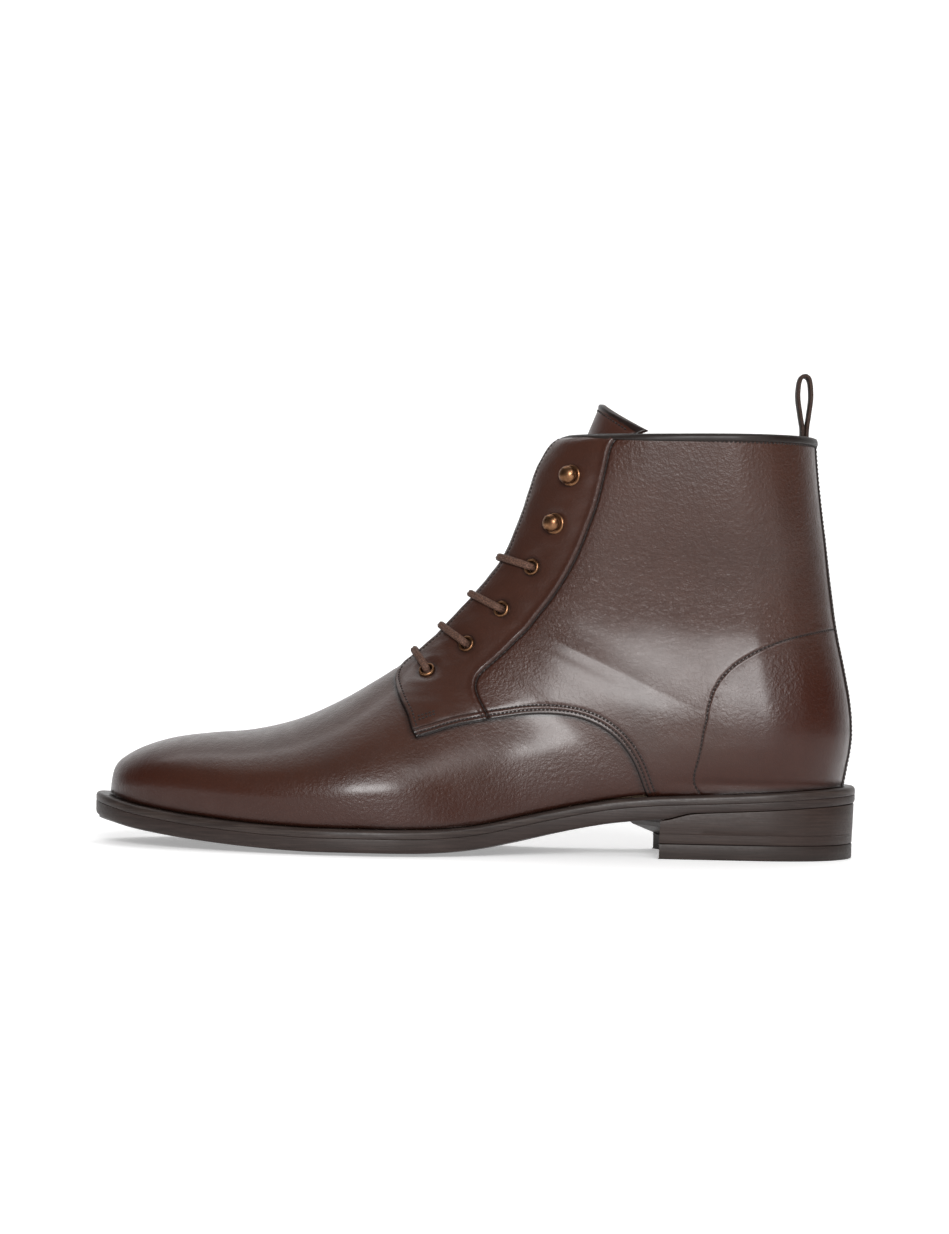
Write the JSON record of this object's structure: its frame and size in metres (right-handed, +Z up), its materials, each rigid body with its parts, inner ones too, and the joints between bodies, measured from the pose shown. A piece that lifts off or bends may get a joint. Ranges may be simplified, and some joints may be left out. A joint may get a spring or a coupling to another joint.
{
  "type": "ankle boot",
  "caption": "Left lace up ankle boot of smooth brown leather: hollow upper with open throat and tongue, leather welted sole, stacked heel, brass eyelets and lace studs, back pull loop.",
  "frame": {"origin": "centre of the bounding box's bottom face, on the ground plane that heel and forefoot rest on", "axes": "+Z up, +X from the toe towards the heel, -Y towards the outer (lateral) side of a left boot"},
  "size_m": [0.304, 0.1078, 0.1929],
  "materials": {
    "upper_leather": "smooth dark brown calf, satin",
    "tongue_leather": "dark brown calf, satin",
    "edge_leather": "dark brown stained and waxed edge",
    "insole_leather": "plain vegetable tanned leather",
    "top_piece_rubber": "dark brown, matte",
    "antique_brass": "antique, satin",
    "lace_cord": "waxed round cord",
    "loop_leather": "dark brown strap"
  },
  "bodies": {
    "root": {"outsole": "edge_leather", "welt": "edge_leather", "heel_stack": "edge_leather", "top_piece": "top_piece_rubber", "insole": "insole_leather", "upper": "upper_leather", "tongue": "tongue_leather", "pull_loop": "loop_leather", "lace": "lace_cord", "eyelet_lateral_1": "antique_brass", "eyelet_lateral_2": "antique_brass", "eyelet_lateral_3": "antique_brass", "eyelet_lateral_4": "antique_brass", "stud_lateral_1": "antique_brass", "stud_lateral_2": "antique_brass", "eyelet_medial_1": "antique_brass", "eyelet_medial_2": "antique_brass", "eyelet_medial_3": "antique_brass", "eyelet_medial_4": "antique_brass", "stud_medial_1": "antique_brass", "stud_medial_2": "antique_brass"}
  },
  "joints": []
}
